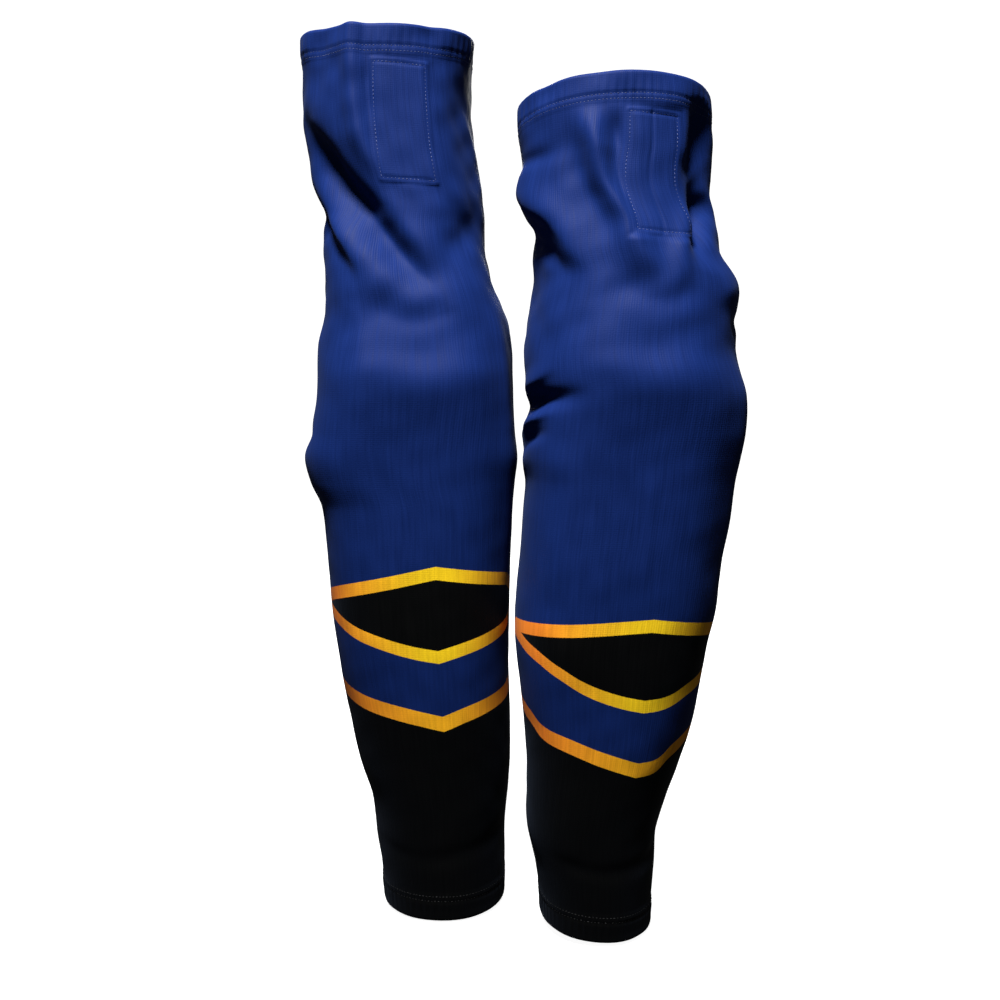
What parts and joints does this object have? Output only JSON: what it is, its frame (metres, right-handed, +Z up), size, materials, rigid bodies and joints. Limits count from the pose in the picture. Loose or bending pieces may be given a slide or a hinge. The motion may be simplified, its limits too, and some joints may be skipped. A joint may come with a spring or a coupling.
{
  "type": "ice hockey socks",
  "caption": "Pair of footless knit hockey socks in worn shape, with turned hems, loop patches inside the thigh openings, and knees that bend.",
  "frame": {"origin": "on the ankle openings' plane, below the middle of the pair's bounding box", "axes": "+Z up the legs, the fronts face -Y, +X is towards the wearer's left sock"},
  "size_m": [0.3163, 0.2069, 0.6351],
  "materials": {
    "royal_blue_knit": "fine ribbed polyester knit, royal blue above, printed with three golden stripes, a black lens and black below",
    "black_knit": "fine ribbed polyester knit, black below the printed stripes",
    "blue_hem": "turned hem of the blue knit",
    "black_hem": "turned hem of the black knit",
    "loop_tape": "soft brushed loop side of hook-and-loop tape",
    "sewing_thread": "spun polyester thread",
    "overlock_seam": "overlocked seam allowance"
  },
  "bodies": {
    "right_thigh": {"right_thigh_tube": "royal_blue_knit", "right_knee_section": "royal_blue_knit", "right_thigh_hem": "blue_hem", "right_thigh_hem_thread_upper": "sewing_thread", "right_thigh_hem_thread_lower": "sewing_thread", "right_front_loop_patch": "loop_tape", "right_rear_loop_patch": "loop_tape", "right_front_patch_stitching": "sewing_thread", "right_rear_patch_stitching": "sewing_thread", "right_back_seam_thigh": "overlock_seam", "right_back_seam_knee": "overlock_seam"},
    "right_shin": {"right_shin_tube": "black_knit", "right_ankle_hem": "black_hem", "right_ankle_hem_thread_upper": "sewing_thread", "right_ankle_hem_thread_lower": "sewing_thread", "right_back_seam_shin": "overlock_seam"},
    "left_thigh": {"left_thigh_tube": "royal_blue_knit", "left_knee_section": "royal_blue_knit", "left_thigh_hem": "blue_hem", "left_thigh_hem_thread_upper": "sewing_thread", "left_thigh_hem_thread_lower": "sewing_thread", "left_front_loop_patch": "loop_tape", "left_rear_loop_patch": "loop_tape", "left_front_patch_stitching": "sewing_thread", "left_rear_patch_stitching": "sewing_thread", "left_back_seam_thigh": "overlock_seam", "left_back_seam_knee": "overlock_seam"},
    "left_shin": {"left_shin_tube": "black_knit", "left_ankle_hem": "black_hem", "left_ankle_hem_thread_upper": "sewing_thread", "left_ankle_hem_thread_lower": "sewing_thread", "left_back_seam_shin": "overlock_seam"}
  },
  "joints": [
    {"name": "right_knee_bend", "type": "hinge", "parent": "right_thigh", "child": "right_shin", "pos_m": [-0.0752, 0.035, 0.405], "axis": [1, 0, 0], "range_deg": [0, 90], "deforming": ["right_knee_section", "right_back_seam_knee"]},
    {"name": "left_sock_apart", "type": "slide", "parent": "right_thigh", "child": "left_thigh", "axis": [1, 0, 0], "range_m": [0, 0.3]},
    {"name": "left_knee_bend", "type": "hinge", "parent": "left_thigh", "child": "left_shin", "pos_m": [0.0787, -0.005, 0.392], "axis": [1, 0, 0], "range_deg": [0, 90], "deforming": ["left_knee_section", "left_back_seam_knee"]}
  ]
}
